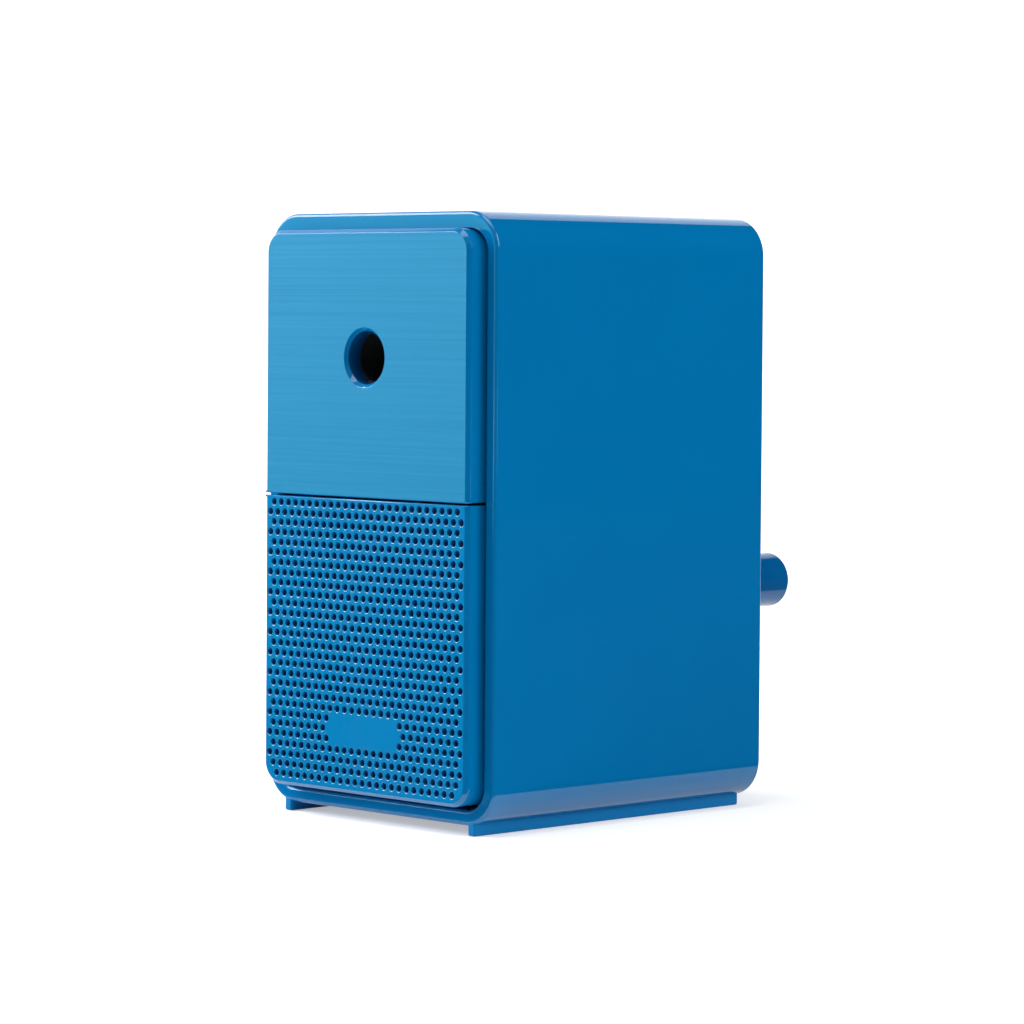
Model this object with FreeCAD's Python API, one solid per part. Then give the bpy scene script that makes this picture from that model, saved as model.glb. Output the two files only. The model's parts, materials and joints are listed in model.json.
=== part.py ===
import FreeCAD, Part
import math
import os

# Crank pencil sharpener, in millimetres. +X is to the right as seen from the front, the front
# faces -Y, the crank is behind, +Z is up. Pieces are drawn with Y = 0 at the sleeve's front rim
# and Z = 0 under the skids, and are set on the middle of the whole object's depth when saved.

# Sleeve
SHELL_WIDTH = 61.0
SHELL_HEIGHT = 110.0
SHELL_DEPTH = 71.0
SHELL_CORNER = 8.0
SHELL_WALL = 2.8
RIM_EDGE = 0.45           # bevel of the outer rims
RIM_LIP = 0.3             # rounding of the inner rims
SKID_HEIGHT = 1.8
SKID_WIDTH = 1.9
SKID_SETBACK = 5.0        # sleeve's side to a skid's outer face
SKID_INSET = 1.0          # rims to the ends of a skid
SKID_ROUND = 0.9
LEDGE_WIDTH = 1.5         # ribs that the inner frame rests on
LEDGE_HEIGHT = 2.0
COVER_BOSS = 3.4          # corner columns for the rear cover's screws
COVER_BOSS_LENGTH = 10.0
COVER_BOSS_INSET = 3.2    # sleeve's inner walls to a column's axis

# Clearances
SAME = 0.001              # places this near count as one
FIT = 0.02                # pressed or screwed together, on the radius
RUN = 0.05                # turning fits, on the radius
REST = 0.3                # sliding or loose pieces
END_PLAY = 0.1            # along a turning axis

# Fronts
FRONT_PROUD = 3.8         # how far they stand out of the rim
FRONT_GAP = 0.32          # fronts and rear cover to the sleeve
FRONT_EDGE = 0.7          # bevel round the fronts
PARTING_GAP = 0.6         # upper panel to drawer
PARTING_EDGE = 0.3
PLATE_THICK = 1.2
PANEL_WALL = 2.9
PANEL_REACH = 8.0         # how far the panel's sides run in behind the rim
RETURN_WALL = 1.8         # sides of both fronts
PANEL_BOSS = 2.8
PANEL_BOSS_INSET = 6.5    # panel's edges to a screw's axis

# Drawer
DRAWER_WALL = 2.6
PIT_RADIUS = 0.58
PIT_DEPTH = 1.4
PIT_PITCH = 1.975         # along a row
PIT_ROW = 1.873           # row to row
PIT_SIDE = 1.65           # outermost pits' axes to the drawer's sides
PIT_TOP = 1.1
PIT_BOTTOM = 2.6
PIT_CORNER = 1.2          # pits' axes to the rounded corners
PATCH_HALF = 9.5          # bare patch
PATCH_HEIGHT = 5.3
PATCH_RISE = 9.0          # drawer's lower edge to the patch
TRAY_WALL = 1.6
TRAY_CORNER = 3.0
TRAY_HEIGHT = 42.0
TRAY_TAIL = 1.0           # tray to the rear cover's columns
TRAY_BOSS = 2.6
TRAY_BOSS_LENGTH = 3.6
TRAY_SCREW_SPREAD = 16.0  # centreline to a screw
TRAY_SCREW_LOW = 11.0     # tray's underside to the lower screws
TRAY_SCREW_RISE = 22.0    # lower to upper screws
RUNNER_SPREAD = 20.0
RUNNER_WIDTH = 2.0

# Inner frame
FRAME_GAP = 0.3           # frame to the sleeve
BULKHEAD = 2.5
COLLAR_WALL = 2.3
COLLAR_ROOM = 1.6         # collar to the sleeve's top
SHELF_ROOM = 0.8          # collar to shelf
SHELF_THICK = 2.0
SHELF_DROP = 0.5          # shelf to the panel's lower edge
FLANGE_WALL = 2.0
FLANGE_HEIGHT = 7.6
CHUTE_HALF = 17.0
CHUTE_FRONT = 4.0         # collar to the chute
CHUTE_BACK = 14.0         # chute to the rear cover
CHUTE_CORNER = 4.0
FRAME_BOSS = 3.2
FRAME_BOSS_LENGTH = 11.0

# Pencil way
PENCIL_HOLE = 4.85        # in the plate and the panel
HOLE_CHAMFER = 0.65
PENCIL_RADIUS = 4.0       # thickest pencil that the carrier takes
PENCIL_PLAY = 0.3
POINT_RADIUS = 0.35       # flat end of the conical seat
GUIDE_BORE = 4.6
GUIDE_WALL = 1.6
GUIDE_SEAT = 0.7          # guide let into the panel
GUIDE_FLANGE = 9.0
GUIDE_FLANGE_THICK = 1.5

# Cutter and gears
CUTTER_TILT = 11.0        # degrees, half the angle of the pencil's point
CUTTER_RADIUS = 5.5
CUTTER_TEETH = 16
CUTTER_TOOTH = 0.7
CUTTER_GULLET = 0.3       # root after a tooth's tip, in tooth pitches
CUTTER_TWIST = 75.0       # degrees over its length
CUTTER_STEPS = 7          # sections that the twist is drawn through
CUTTER_LEAD = 1.3         # cutter starts before the pencil's cone
CUTTER_PAST = 1.7         # and ends behind its point
AXLE_RADIUS = 1.5
AXLE_SEAT = 3.0           # length held at each end
WASHER_THICK = 0.5
WASHER_RADIUS = 3.2
RING_TEETH = 38
PINION_TEETH = 12
PINION_LENGTH = 5.0
PINION_HUB = 3.3          # plain neck between the pinion and the cutter
PINION_NECK = 1.3
PRESSURE_ANGLE = 25.0     # degrees
TOOTH_RISE = 0.9          # addendum and dedendum, in modules
TOOTH_FALL = 1.15
BACKLASH = 0.16           # of each gear, along the pitch line
RING_LEAD = 0.5           # ring's teeth beyond the pinion's, at each end
RING_WALL = 2.6
KEY_COUNT = 3
KEY_WIDTH = 4.0
KEY_HEIGHT = 1.2

# Carrier and shaft
DISC_GAP = 0.5            # bulkhead to carrier
DISC_THICK = 3.0
DISC_MARGIN = 1.7         # axle to the disc's edge
POCKET_LIP = 0.6
POCKET_GAP = 0.5
DRUM_RADIUS = 10.5
SEAT_WALL = 4.2           # carrier behind the cutter
HUB_RADIUS = 6.0
HUB_GAP = 1.0             # hub to the retaining clip
SOCKET_DEPTH = 6.5
SHAFT_RADIUS = 3.0
SHAFT_FLAT = 0.6
PIN_RADIUS = 1.0
PIN_SETBACK = 3.0         # hub's end to the cross pin
CLIP_THICK = 0.6
CLIP_GROOVE = 0.7
CLIP_RADIUS = 5.0
THRUST_RADIUS = 6.0

# Rear cover
COVER_THICK = 2.6
COVER_RECESS = 1.0
COVER_EDGE = 0.5
COVER_HUB = 8.5
COVER_HUB_OUT = 3.5
COVER_HUB_IN = 3.9
BUSH_RADIUS = 5.0
BUSH_FLANGE = 7.2
BUSH_FLANGE_THICK = 1.0
FRAME_SCREW_INSET = 5.2   # frame's sides to the frame screws

# Crank
CRANK_RADIUS = 45.1
CRANK_REACH = 36.5        # sleeve's rear rim to the knob's end
ARM_HUB = 8.0
ARM_HUB_LENGTH = 8.0
ARM_THICK = 5.5
ARM_STEP = 1.2            # hub's front face to the bar's
ARM_END = 6.2
ARM_EDGE = 0.8
KNOB_RADIUS = 5.45
KNOB_NECK = 4.7
KNOB_EDGE = 1.0
KNOB_GAP = 0.4
KNOB_PIN = 2.0
KNOB_PIN_HEAD = 3.4
KNOB_PIN_HEAD_THICK = 1.3
KNOB_PIN_DOME = 0.65
KNOB_PIN_SINK = 0.8       # pin's head below the knob's end

# Screws
SCREW_SHANK = 1.1
SCREW_HEAD = 2.2
SCREW_HEAD_THICK = 1.5
SCREW_DOME = 0.5
SCREW_BITE = 6.0          # length in the piece that it holds to
TRAY_SCREW_BITE = 3.0
CRANK_SCREW_SHANK = 1.25
CRANK_SCREW_HEAD = 3.6

# Sleeve and fronts, worked out
Vec = FreeCAD.Vector
shell_low = SKID_HEIGHT
shell_top = shell_low + SHELL_HEIGHT
inner_half = SHELL_WIDTH / 2 - SHELL_WALL
inner_low = shell_low + SHELL_WALL
inner_top = shell_top - SHELL_WALL
inner_corner = SHELL_CORNER - SHELL_WALL
front_half = inner_half - FRONT_GAP
front_corner = inner_corner - FRONT_GAP
plate_back = PLATE_THICK - FRONT_PROUD
panel_wall_back = plate_back + PANEL_WALL
guide_front = panel_wall_back - GUIDE_SEAT
bulkhead_back = PANEL_REACH + BULKHEAD
cover_out = SHELL_DEPTH - COVER_RECESS
cover_in = cover_out - COVER_THICK
knob_end = SHELL_DEPTH + CRANK_REACH
middle_y = (knob_end - FRONT_PROUD) / 2

# Cutter's axis, which meets the crank's axis at the apex, and places along it from the apex
tilt = math.radians(CUTTER_TILT)
disc_front = bulkhead_back + DISC_GAP
disc_back = disc_front + DISC_THICK
pocket_y = disc_back + POCKET_LIP
cone_length = PENCIL_RADIUS / math.tan(tilt)
cutter_length = (CUTTER_LEAD + cone_length) / math.cos(tilt) + CUTTER_PAST
cutter_y = pocket_y + (WASHER_THICK + END_PLAY + PINION_LENGTH + PINION_NECK) * math.cos(tilt)
point_y = cutter_y + CUTTER_LEAD + cone_length
apex_y = point_y + CUTTER_RADIUS / math.sin(tilt)
pocket_at = (apex_y - pocket_y) / math.cos(tilt)
pinion_at = pocket_at - WASHER_THICK - END_PLAY
pinion_end = pinion_at - PINION_LENGTH
cutter_at = pinion_end - PINION_NECK
cutter_end = cutter_at - cutter_length
pocket_end = cutter_end - END_PLAY - WASHER_THICK
seat_back = apex_y - pocket_end * math.cos(tilt) + SEAT_WALL

# Pitch cones, which share the apex
ratio = RING_TEETH / PINION_TEETH
pinion_cone = math.atan(math.sin(tilt) / (ratio - math.cos(tilt)))
ring_cone = pinion_cone + tilt
gear_mid = (pinion_at + pinion_end) / 2
cone_reach = gear_mid / math.cos(pinion_cone)
module = 2 * gear_mid * math.tan(pinion_cone) / PINION_TEETH
rise = TOOTH_RISE * module / cone_reach
fall = TOOTH_FALL * module / cone_reach
ring_front = apex_y - pinion_at * math.cos(ring_cone) / math.cos(pinion_cone) - RING_LEAD
ring_back = apex_y - pinion_end * math.cos(ring_cone) / math.cos(pinion_cone) + RING_LEAD
ring_bore = (apex_y - ring_front) * math.tan(ring_cone + fall)
ring_outer = ring_bore + RING_WALL
collar_outer = ring_outer + FIT + COLLAR_WALL
pinion_tip = pinion_at * math.tan(pinion_cone + rise)
pocket_radius = max(CUTTER_RADIUS, pinion_tip) + POCKET_GAP

# Heights that follow from the gears
axis_z = inner_top - COLLAR_ROOM - collar_outer
shelf_top = axis_z - collar_outer - SHELF_ROOM
shelf_low = shelf_top - SHELF_THICK
panel_low = shelf_low - SHELF_DROP
panel_top = inner_top - FRONT_GAP
drawer_top = panel_low - PARTING_GAP
drawer_low = inner_low + FRONT_GAP
frame_half = inner_half - FRAME_GAP
guide_outer = GUIDE_BORE + GUIDE_WALL
axle_front = pocket_at + AXLE_SEAT
disc_radius = axle_front * math.sin(tilt) + AXLE_RADIUS + DISC_MARGIN

# Drawer's tray, worked out
drawer_back = DRAWER_WALL - FRONT_PROUD
tray_front = drawer_back + TRAY_BOSS_LENGTH
tray_back = cover_in - COVER_BOSS_LENGTH - TRAY_TAIL
tray_half = front_half - RETURN_WALL - REST
tray_low = drawer_low + RETURN_WALL + REST
tray_screws = [
    (side * TRAY_SCREW_SPREAD, tray_low + TRAY_SCREW_LOW + step * TRAY_SCREW_RISE)
    for side in (-1, 1) for step in (0, 1)
]

# Shaft and crank, worked out
bush_front = cover_in - COVER_HUB_IN
bush_back = cover_out + COVER_HUB_OUT
clip_y = bush_front - END_PLAY - WASHER_THICK - END_PLAY - CLIP_THICK
hub_back = clip_y - HUB_GAP
shaft_front = hub_back - SOCKET_DEPTH
arm_front = bush_back + BUSH_FLANGE_THICK + REST
bar_front = arm_front + ARM_STEP
bar_back = bar_front + ARM_THICK
arm_back = arm_front + ARM_HUB_LENGTH
arm_sink = SCREW_HEAD_THICK + REST
shaft_back = arm_back - arm_sink
knob_z = axis_z - CRANK_RADIUS
knob_front = bar_back + KNOB_GAP
pin_head_front = knob_end - KNOB_PIN_SINK - KNOB_PIN_HEAD_THICK

# Screw places
panel_screw_x = front_half - PANEL_BOSS_INSET
panel_screw_places = [
    (side * panel_screw_x, z)
    for side in (-1, 1) for z in (panel_low + PANEL_BOSS_INSET, panel_top - PANEL_BOSS_INSET)
]
cover_screw_x = inner_half - COVER_BOSS_INSET
cover_screw_places = [
    (side * cover_screw_x, z)
    for side in (-1, 1) for z in (inner_low + COVER_BOSS_INSET, inner_top - COVER_BOSS_INSET)
]
frame_screw_z = shelf_top + FRAME_BOSS
frame_screw_places = [(side * (frame_half - FRAME_SCREW_INSET), frame_screw_z) for side in (-1, 1)]


def box(x0, x1, y0, y1, z0, z1):
    return Part.makeBox(x1 - x0, y1 - y0, z1 - z0, Vec(x0, y0, z0))


def rod(radius, y0, y1, x=0.0, z=axis_z):
    return Part.makeCylinder(radius, y1 - y0, Vec(x, y0, z), Vec(0, 1, 0))


def tube(inner, outer, y0, y1, x=0.0, z=axis_z):
    return rod(outer, y0, y1, x, z).cut(rod(inner, y0, y1, x, z))


def turned(profile, z=axis_z):
    """A body turned about the line x = 0 at height z, from (y, radius) points."""
    points = [Vec(0, y, z + radius) for y, radius in profile]
    face = Part.Face(Part.makePolygon(points + points[:1]))
    return face.revolve(Vec(0, 0, z), Vec(0, 1, 0), 360)


def rounded(corners, lift):
    """A closed outline through (a, b, radius) corners taken in turn; lift places (a, b)."""
    edges = []
    count = len(corners)
    ends = []
    for index, (a, b, radius) in enumerate(corners):
        before = corners[index - 1]
        after = corners[(index + 1) % count]
        here = Vec(a, b, 0)
        back = (Vec(before[0], before[1], 0) - here).normalize()
        ahead = (Vec(after[0], after[1], 0) - here).normalize()
        middle = here + (back + ahead) * radius * (1 - math.sqrt(0.5))
        ends.append((here + back * radius, middle, here + ahead * radius))
    for index, (start, middle, end) in enumerate(ends):
        if corners[index][2] > 0:
            edges.append(Part.Arc(lift(start), lift(middle), lift(end)).toShape())
        follow = ends[(index + 1) % count][0]
        edges.append(Part.makeLine(lift(end), lift(follow)))
    return Part.Face(Part.Wire(edges))


def front_block(half, low, high, low_corner, high_corner, y0, y1):
    """A block seen from the front as a rounded rectangle."""
    corners = [
        (-half, low, low_corner), (half, low, low_corner),
        (half, high, high_corner), (-half, high, high_corner),
    ]
    return rounded(corners, lambda p: Vec(p.x, y0, p.y)).extrude(Vec(0, y1 - y0, 0))


def floor_block(half, y0, y1, corner, z0, z1):
    """A block seen from above as a rounded rectangle."""
    corners = [(-half, y0, corner), (half, y0, corner), (half, y1, corner), (-half, y1, corner)]
    return rounded(corners, lambda p: Vec(p.x, p.y, z0)).extrude(Vec(0, 0, z1 - z0))


def edges_at(shape, y, low, high):
    """Edges in the plane at y, without those that lie flat at the heights low or high."""
    found = []
    for edge in shape.Edges:
        bounds = edge.BoundBox
        in_plane = abs(bounds.YMin - y) < SAME and abs(bounds.YMax - y) < SAME
        if in_plane and bounds.ZMax > low + SAME and bounds.ZMin < high - SAME:
            found.append(edge)
    return found


def parting_edge(shape, z):
    """Round the front edge that faces the other front across the parting."""
    edges = [
        edge for edge in edges_at(shape, -FRONT_PROUD, 0, 2 * shell_top)
        if abs(edge.BoundBox.ZMin - z) < SAME and abs(edge.BoundBox.ZMax - z) < SAME
    ]
    return shape.makeFillet(PARTING_EDGE, edges)


def tilted(shape):
    """Swing a piece drawn on the crank's axis onto the cutter's axis."""
    shape.rotate(Vec(0, apex_y, axis_z), Vec(1, 0, 0), -CUTTER_TILT)
    return shape


def from_apex(radius, far, near):
    """A rod on the cutter's axis between two distances from the apex."""
    return tilted(rod(radius, apex_y - far, apex_y - near))


def screws(places, head_y, bite, toward, shank=SCREW_SHANK, head=SCREW_HEAD):
    """Pan-head screws whose heads bear at head_y and whose shanks run toward -Y or +Y."""
    made = []
    for x, z in places:
        outside = head_y - toward * SCREW_HEAD_THICK
        tip = head_y + toward * bite
        cap = rod(head, min(head_y, outside), max(head_y, outside), x, z)
        rim = [edge for edge in cap.Edges if abs(edge.BoundBox.YMin - outside) < SAME]
        cap = cap.makeFillet(SCREW_DOME, rim[:1])
        made.append(cap.fuse(rod(shank, min(head_y, tip), max(head_y, tip), x, z)).removeSplitter())
    return made


def screw_holes(places, y0, y1):
    return [rod(SCREW_SHANK + FIT, y0, y1, x, z) for x, z in places]


def cut_all(shape, tools):
    return shape.cut(Part.makeCompound(tools))


def fuse_all(shape, pieces):
    return shape.multiFuse(pieces).removeSplitter()


def save(name, *solids):
    """Set the solids on the middle of the depth and write them as one piece or group."""
    shape = solids[0] if len(solids) == 1 else Part.makeCompound(list(solids))
    shape.translate(Vec(0, -middle_y, 0))
    shape.exportStep(os.path.join("parts", name + ".step"))
    print(name, len(shape.Solids), "solid(s),", round(shape.Volume, 1), "mm3, valid", shape.isValid())


# Casing

def outer_shell():
    half = SHELL_WIDTH / 2
    sleeve = front_block(half, shell_low, shell_top, SHELL_CORNER, SHELL_CORNER, 0, SHELL_DEPTH)
    rims = edges_at(sleeve, 0, 0, 2 * shell_top) + edges_at(sleeve, SHELL_DEPTH, 0, 2 * shell_top)
    sleeve = sleeve.makeChamfer(RIM_EDGE, rims)
    hollow = front_block(inner_half, inner_low, inner_top, inner_corner, inner_corner, 0, SHELL_DEPTH)
    sleeve = sleeve.cut(hollow)
    lips = []
    for edge in edges_at(sleeve, 0, 0, 2 * shell_top) + edges_at(sleeve, SHELL_DEPTH, 0, 2 * shell_top):
        bounds = edge.BoundBox
        inside = bounds.XMin > -inner_half - FIT and bounds.XMax < inner_half + FIT
        if inside and bounds.ZMin > inner_low - FIT and bounds.ZMax < inner_top + FIT:
            lips.append(edge)
    sleeve = sleeve.makeFillet(RIM_LIP, lips)
    added = []
    skid_back = SHELL_DEPTH - SKID_INSET
    for side in (-1, 1):
        outer = side * (half - SKID_SETBACK)
        inner = outer - side * SKID_WIDTH
        left, right = min(outer, inner), max(outer, inner)
        skid = box(left, right, SKID_INSET, skid_back, 0, shell_low + SHELL_WALL / 2)
        ends = [edge for edge in skid.Edges if edge.BoundBox.ZMax < FIT and edge.BoundBox.XLength > FIT]
        added.append(skid.makeFillet(SKID_ROUND, ends))
        wall = side * (half - SHELL_WALL / 2)
        ledge = side * (inner_half - LEDGE_WIDTH)
        left, right = min(wall, ledge), max(wall, ledge)
        added.append(box(left, right, PANEL_REACH, cover_in, shelf_low - LEDGE_HEIGHT, shelf_low))
    columns = [rod(COVER_BOSS, cover_in - COVER_BOSS_LENGTH, cover_in, x, z) for x, z in cover_screw_places]
    outside = front_block(half, shell_low, shell_top, SHELL_CORNER, SHELL_CORNER, 0, SHELL_DEPTH)
    added += [column.common(outside) for column in columns]
    sleeve = fuse_all(sleeve, added)
    return cut_all(sleeve, screw_holes(cover_screw_places, cover_in - SCREW_BITE - REST, cover_in))


def front_panel():
    body = front_block(front_half, panel_low, panel_top, 0, front_corner, plate_back, PANEL_REACH)
    hollow = front_block(
        front_half - RETURN_WALL, panel_low + RETURN_WALL, panel_top - RETURN_WALL,
        0, front_corner - RETURN_WALL, panel_wall_back, PANEL_REACH,
    )
    body = body.cut(hollow)
    bosses = [rod(PANEL_BOSS, panel_wall_back, PANEL_REACH, x, z) for x, z in panel_screw_places]
    body = fuse_all(body, bosses)
    holes = screw_holes(panel_screw_places, PANEL_REACH - SCREW_BITE, PANEL_REACH)
    holes.append(rod(PENCIL_HOLE, plate_back, guide_front))
    holes.append(rod(guide_outer + FIT, guide_front, panel_wall_back))
    return cut_all(body, holes)


def face_plate():
    body = front_block(front_half, panel_low, panel_top, 0, front_corner, -FRONT_PROUD, plate_back)
    body = body.makeChamfer(FRONT_EDGE, edges_at(body, -FRONT_PROUD, panel_low, 2 * panel_top))
    body = parting_edge(body, panel_low)
    mouth = -FRONT_PROUD
    hole = turned([
        (mouth, 0), (mouth, PENCIL_HOLE + HOLE_CHAMFER), (mouth + HOLE_CHAMFER, PENCIL_HOLE),
        (plate_back, PENCIL_HOLE), (plate_back, 0),
    ])
    return body.cut(hole)


def rear_cover():
    body = front_block(front_half, drawer_low, panel_top, front_corner, front_corner, cover_in, cover_out)
    body = body.makeFillet(COVER_EDGE, edges_at(body, cover_out, 0, 2 * panel_top))
    hub = rod(COVER_HUB, cover_in - COVER_HUB_IN, bush_back)
    body = fuse_all(body, [hub])
    seat = cover_out - SCREW_HEAD_THICK
    holes = [rod(BUSH_RADIUS + FIT, bush_front, bush_back)]
    places = cover_screw_places + frame_screw_places
    holes += screw_holes(places, cover_in, cover_out)
    holes += [rod(SCREW_HEAD + REST, seat, cover_out, x, z) for x, z in places]
    return cut_all(body, holes)


# Inner frame

def keys(reach, width, y0, y1):
    """Radial bars that stop the ring gear from turning in its collar."""
    bars = []
    for index in range(KEY_COUNT):
        bar = box(-width / 2, width / 2, y0, y1, axis_z, axis_z + reach)
        bar.rotate(Vec(0, 0, axis_z), Vec(0, 1, 0), index * 360 / KEY_COUNT)
        bars.append(bar)
    return bars


def gear_frame():
    top = inner_top - FRAME_GAP
    corner = inner_corner - FRAME_GAP
    body = front_block(frame_half, shelf_low, top, 0, corner, PANEL_REACH, bulkhead_back)
    shelf = box(-frame_half, frame_half, bulkhead_back, cover_in, shelf_low, shelf_top)
    chute_front = ring_back + CHUTE_FRONT
    chute_back = cover_in - CHUTE_BACK
    chute = floor_block(CHUTE_HALF, chute_front, chute_back, CHUTE_CORNER, shelf_low, shelf_top)
    added = [shelf.cut(chute), rod(collar_outer, bulkhead_back, ring_back)]
    for side in (-1, 1):
        left = min(side * frame_half, side * (frame_half - FLANGE_WALL))
        right = left + FLANGE_WALL
        added.append(box(left, right, bulkhead_back, cover_in, shelf_top, shelf_top + FLANGE_HEIGHT))
    for x, z in frame_screw_places:
        column_front = cover_in - FRAME_BOSS_LENGTH
        column = rod(FRAME_BOSS, column_front, cover_in, x, z)
        web = box(x - FLANGE_WALL / 2, x + FLANGE_WALL / 2, column_front, cover_in, shelf_low, z)
        added.append(column.fuse(web))
    body = fuse_all(body, added)
    holes = [rod(ring_outer + FIT, bulkhead_back, ring_back)]
    holes.append(rod(guide_outer + FIT, PANEL_REACH, bulkhead_back))
    holes += keys(ring_outer + KEY_HEIGHT + FIT, KEY_WIDTH + 2 * FIT, bulkhead_back, ring_back)
    holes += screw_holes(panel_screw_places, PANEL_REACH, bulkhead_back)
    holes += screw_holes(frame_screw_places, cover_in - SCREW_BITE - REST, cover_in)
    return cut_all(body, holes)


def pencil_guide():
    flange_front = PANEL_REACH - GUIDE_FLANGE_THICK
    body = turned([
        (guide_front, 0), (guide_front, guide_outer), (flange_front, guide_outer),
        (flange_front, GUIDE_FLANGE), (PANEL_REACH, GUIDE_FLANGE),
        (PANEL_REACH, guide_outer), (disc_back, guide_outer), (disc_back, 0),
    ])
    return body.cut(rod(GUIDE_BORE, guide_front, disc_back))


# Gears: straight teeth on cones that meet at the apex, so every flank is a plane through it

def involute(angle):
    return math.tan(angle) - angle


def tooth_half(radius, pitch_radius, pitch_half):
    """Half a tooth's angle at a radius, from half its angle on the pitch circle."""
    pressure = math.radians(PRESSURE_ANGLE)
    base = pitch_radius * math.cos(pressure)
    here = math.acos(min(1.0, base / radius))
    return pitch_half + involute(pressure) - involute(here)


def toothed_outline(distance, cone, lower, upper, count, play):
    """Teeth round the crank's axis, in the plane at a distance in front of the apex."""
    pitch_radius = distance * math.tan(cone)
    pitch_half = math.pi / 2 / count + play / 2 / (gear_mid * math.tan(cone))
    radii = [distance * math.tan(cone - lower), pitch_radius, distance * math.tan(cone + upper)]
    flank = [(radius, tooth_half(radius, pitch_radius, pitch_half)) for radius in radii]
    points = []
    for index in range(count):
        middle = math.pi / 2 + index * 2 * math.pi / count
        turns = [(radius, middle - half) for radius, half in flank]
        turns += [(radius, middle + half) for radius, half in reversed(flank)]
        for radius, angle in turns:
            x = radius * math.cos(angle)
            z = axis_z + radius * math.sin(angle)
            points.append(Vec(x, apex_y - distance, z))
    return points


def toothed_frustum(far, near, cone, lower, upper, count, play):
    front = toothed_outline(far, cone, lower, upper, count, play)
    back = toothed_outline(near, cone, lower, upper, count, play)
    faces = []
    for index in range(len(front)):
        follow = (index + 1) % len(front)
        corners = [front[index], front[follow], back[follow], back[index], front[index]]
        faces.append(Part.Face(Part.makePolygon(corners)))
    faces.append(Part.Face(Part.makePolygon(front + front[:1])))
    faces.append(Part.Face(Part.makePolygon(back + back[:1])))
    solid = Part.makeSolid(Part.makeShell(faces))
    if solid.Volume < 0:
        solid.reverse()
    return solid


def ring_gear():
    body = fuse_all(rod(ring_outer, bulkhead_back, ring_back), [
        bar.common(rod(ring_outer + KEY_HEIGHT, bulkhead_back, ring_back))
        for bar in keys(ring_outer + KEY_HEIGHT, KEY_WIDTH, bulkhead_back, ring_back)
    ])
    spaces = toothed_frustum(
        apex_y - ring_front, apex_y - ring_back - RING_LEAD, ring_cone, rise, fall, RING_TEETH, BACKLASH,
    )
    return body.cut(spaces).cut(rod(ring_bore, bulkhead_back, ring_front))


def cutter_pinion():
    body = toothed_frustum(pinion_at, pinion_end, pinion_cone, fall, rise, PINION_TEETH, -BACKLASH)
    body = fuse_all(body, [rod(PINION_HUB, apex_y - pinion_end, apex_y - cutter_at)])
    body = body.cut(rod(AXLE_RADIUS + RUN, apex_y - pinion_at, apex_y - cutter_at))
    return tilted(body)


# Carrier and cutter

def cutter_carrier():
    body = turned([
        (disc_front, 0), (disc_front, disc_radius), (disc_back, disc_radius), (disc_back, DRUM_RADIUS),
        (seat_back, DRUM_RADIUS), (seat_back, HUB_RADIUS), (hub_back, HUB_RADIUS), (hub_back, 0),
    ])
    seat = PENCIL_RADIUS + PENCIL_PLAY
    cone_y = point_y - seat / math.tan(tilt)
    point_end = point_y - POINT_RADIUS / math.tan(tilt)
    way = turned([
        (disc_front, 0), (disc_front, guide_outer + RUN), (disc_back + END_PLAY, guide_outer + RUN),
        (disc_back + END_PLAY, seat), (cone_y, seat), (point_end, POINT_RADIUS), (point_end, 0),
    ])
    holes = [
        way, from_apex(pocket_radius, pocket_at, pocket_end),
        from_apex(AXLE_RADIUS + FIT, axle_front, pocket_end - AXLE_SEAT),
        rod(SHAFT_RADIUS + FIT, shaft_front, hub_back), cross_pin(PIN_RADIUS + FIT, HUB_RADIUS),
    ]
    for hole in holes:
        body = body.cut(hole)
    return body


def cross_pin(radius, half):
    return Part.makeCylinder(radius, 2 * half, Vec(-half, hub_back - PIN_SETBACK, axis_z), Vec(1, 0, 0))


def cutter_axle():
    return from_apex(AXLE_RADIUS, axle_front, pocket_end - AXLE_SEAT)


def helical_cutter():
    sections = []
    for step in range(CUTTER_STEPS):
        share = step / (CUTTER_STEPS - 1)
        y = apex_y - cutter_at + cutter_length * share
        points = []
        for index in range(CUTTER_TEETH):
            turn = math.radians(CUTTER_TWIST * share) + index * 2 * math.pi / CUTTER_TEETH
            root = turn + CUTTER_GULLET * 2 * math.pi / CUTTER_TEETH
            for radius, angle in ((CUTTER_RADIUS, turn), (CUTTER_RADIUS - CUTTER_TOOTH, root)):
                points.append(Vec(radius * math.cos(angle), y, axis_z + radius * math.sin(angle)))
        sections.append(Part.makePolygon(points + points[:1]))
    body = Part.makeLoft(sections, True, False)
    body = body.cut(rod(AXLE_RADIUS + RUN, apex_y - cutter_at, apex_y - cutter_end))
    return tilted(body)


def cutter_washers():
    made = []
    for near in (pinion_at + END_PLAY / 2, pocket_end + END_PLAY / 2):
        far = near + WASHER_THICK
        made.append(from_apex(WASHER_RADIUS, far, near).cut(from_apex(AXLE_RADIUS + RUN, far, near)))
    return made


# Shaft

def crank_shaft():
    body = rod(SHAFT_RADIUS, shaft_front, shaft_back)
    groove = tube(SHAFT_RADIUS - CLIP_GROOVE, SHAFT_RADIUS, clip_y, clip_y + CLIP_THICK + END_PLAY)
    flat = box(-SHAFT_RADIUS, SHAFT_RADIUS, arm_front, shaft_back,
               axis_z + SHAFT_RADIUS - SHAFT_FLAT, axis_z + SHAFT_RADIUS)
    thread = rod(CRANK_SCREW_SHANK + FIT, shaft_back - SCREW_BITE - REST, shaft_back)
    for hole in (groove, flat, thread, cross_pin(PIN_RADIUS + FIT, HUB_RADIUS)):
        body = body.cut(hole)
    return body


def drive_pin():
    return cross_pin(PIN_RADIUS, HUB_RADIUS)


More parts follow.
